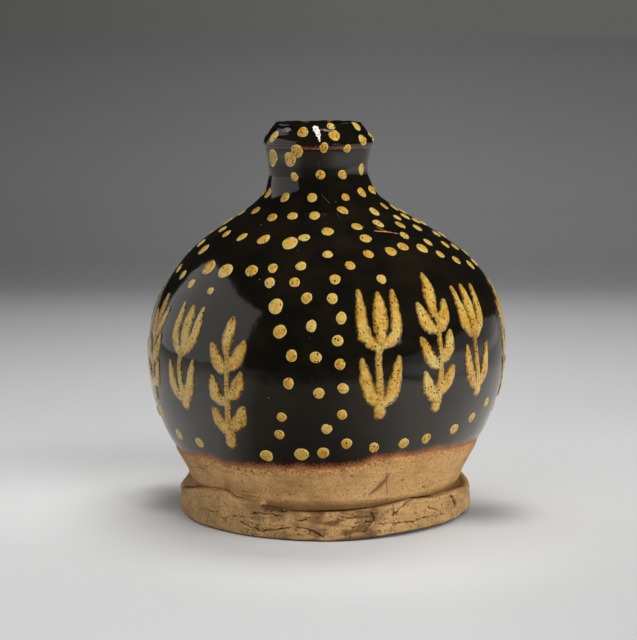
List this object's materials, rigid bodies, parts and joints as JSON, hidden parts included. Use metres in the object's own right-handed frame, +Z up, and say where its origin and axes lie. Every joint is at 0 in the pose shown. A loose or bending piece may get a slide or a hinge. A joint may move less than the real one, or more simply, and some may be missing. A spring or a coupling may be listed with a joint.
{
  "type": "slipware bottle",
  "caption": "Round-bellied glazed clay bottle on an applied foot band, with a short neck, a thick collar at the mouth and trailed slip dots and sprigs.",
  "frame": {"origin": "on the table under the middle of the belly", "axes": "+Z up through the neck, -Y towards the front with the dotted roundel, +X to the right of that view"},
  "size_m": [0.1307, 0.1295, 0.14],
  "materials": {
    "clay": "unglazed fired earthenware, matt and pitted",
    "glaze": "very dark brown lead glaze over dark slip, glossy",
    "slip": "honey yellow trailed slip under clear glaze, glossy, speckled"
  },
  "bodies": {
    "root": {"thrown_body": "clay", "foot_band": "clay", "rim_collar": "clay", "glaze_coat": "glaze", "collar_glaze": "glaze", "sprig_01": "slip", "sprig_02": "slip", "sprig_03": "slip", "sprig_04": "slip", "sprig_05": "slip", "sprig_06": "slip", "sprig_07": "slip", "sprig_08": "slip", "sprig_09": "slip", "sprig_10": "slip", "sprig_11": "slip", "sprig_12": "slip", "collar_dot_01": "slip", "collar_dot_02": "slip", "collar_dot_03": "slip", "collar_dot_04": "slip", "collar_dot_05": "slip", "collar_dot_06": "slip", "collar_dot_07": "slip", "collar_dot_08": "slip", "collar_dot_09": "slip", "neck_dot_01": "slip", "neck_dot_02": "slip", "neck_dot_03": "slip", "neck_dot_04": "slip", "neck_dot_05": "slip", "neck_dot_06": "slip", "shoulder_dot_01": "slip", "shoulder_dot_02": "slip", "shoulder_dot_03": "slip", "shoulder_dot_04": "slip", "shoulder_dot_05": "slip", "shoulder_dot_06": "slip", "roundel_dot_01": "slip", "roundel_dot_02": "slip", "roundel_dot_03": "slip", "roundel_dot_04": "slip", "roundel_dot_05": "slip", "roundel_dot_06": "slip", "roundel_dot_07": "slip", "roundel_dot_08": "slip", "roundel_dot_09": "slip", "roundel_dot_10": "slip", "roundel_dot_11": "slip", "roundel_dot_12": "slip", "roundel_dot_13": "slip", "roundel_dot_14": "slip", "roundel_dot_15": "slip", "lower_dot_01": "slip", "lower_dot_02": "slip", "lower_dot_03": "slip", "lower_dot_04": "slip", "lower_dot_05": "slip"}
  },
  "joints": []
}
